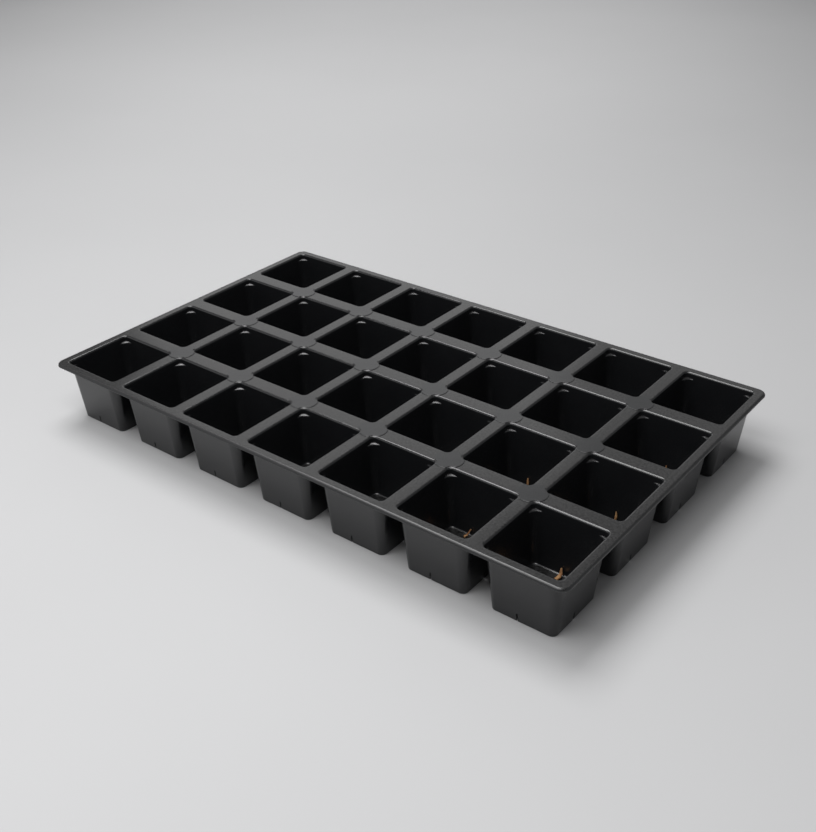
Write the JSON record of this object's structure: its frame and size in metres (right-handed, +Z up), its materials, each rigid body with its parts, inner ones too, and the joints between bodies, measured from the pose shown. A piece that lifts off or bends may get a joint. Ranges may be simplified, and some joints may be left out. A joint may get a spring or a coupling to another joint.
{
  "type": "seedling plug tray",
  "caption": "Black plastic seedling plug tray: a flat rimmed deck with a grid of tapered square cells, each with a raised floor, a drain hole and drain slits.",
  "frame": {"origin": "on the ground under the middle of the tray", "axes": "+X along the seven columns, +Y across the four rows from front to back, +Z up"},
  "size_m": [0.3814, 0.2352, 0.0403],
  "materials": {
    "tray_plastic": "satin black polypropylene with a fine moulded grain"
  },
  "bodies": {
    "root": {"deck": "tray_plastic", "cell_r1_c1": "tray_plastic", "cell_r1_c2": "tray_plastic", "cell_r1_c3": "tray_plastic", "cell_r1_c4": "tray_plastic", "cell_r1_c5": "tray_plastic", "cell_r1_c6": "tray_plastic", "cell_r1_c7": "tray_plastic", "cell_r2_c1": "tray_plastic", "cell_r2_c2": "tray_plastic", "cell_r2_c3": "tray_plastic", "cell_r2_c4": "tray_plastic", "cell_r2_c5": "tray_plastic", "cell_r2_c6": "tray_plastic", "cell_r2_c7": "tray_plastic", "cell_r3_c1": "tray_plastic", "cell_r3_c2": "tray_plastic", "cell_r3_c3": "tray_plastic", "cell_r3_c4": "tray_plastic", "cell_r3_c5": "tray_plastic", "cell_r3_c6": "tray_plastic", "cell_r3_c7": "tray_plastic", "cell_r4_c1": "tray_plastic", "cell_r4_c2": "tray_plastic", "cell_r4_c3": "tray_plastic", "cell_r4_c4": "tray_plastic", "cell_r4_c5": "tray_plastic", "cell_r4_c6": "tray_plastic", "cell_r4_c7": "tray_plastic"}
  },
  "joints": []
}
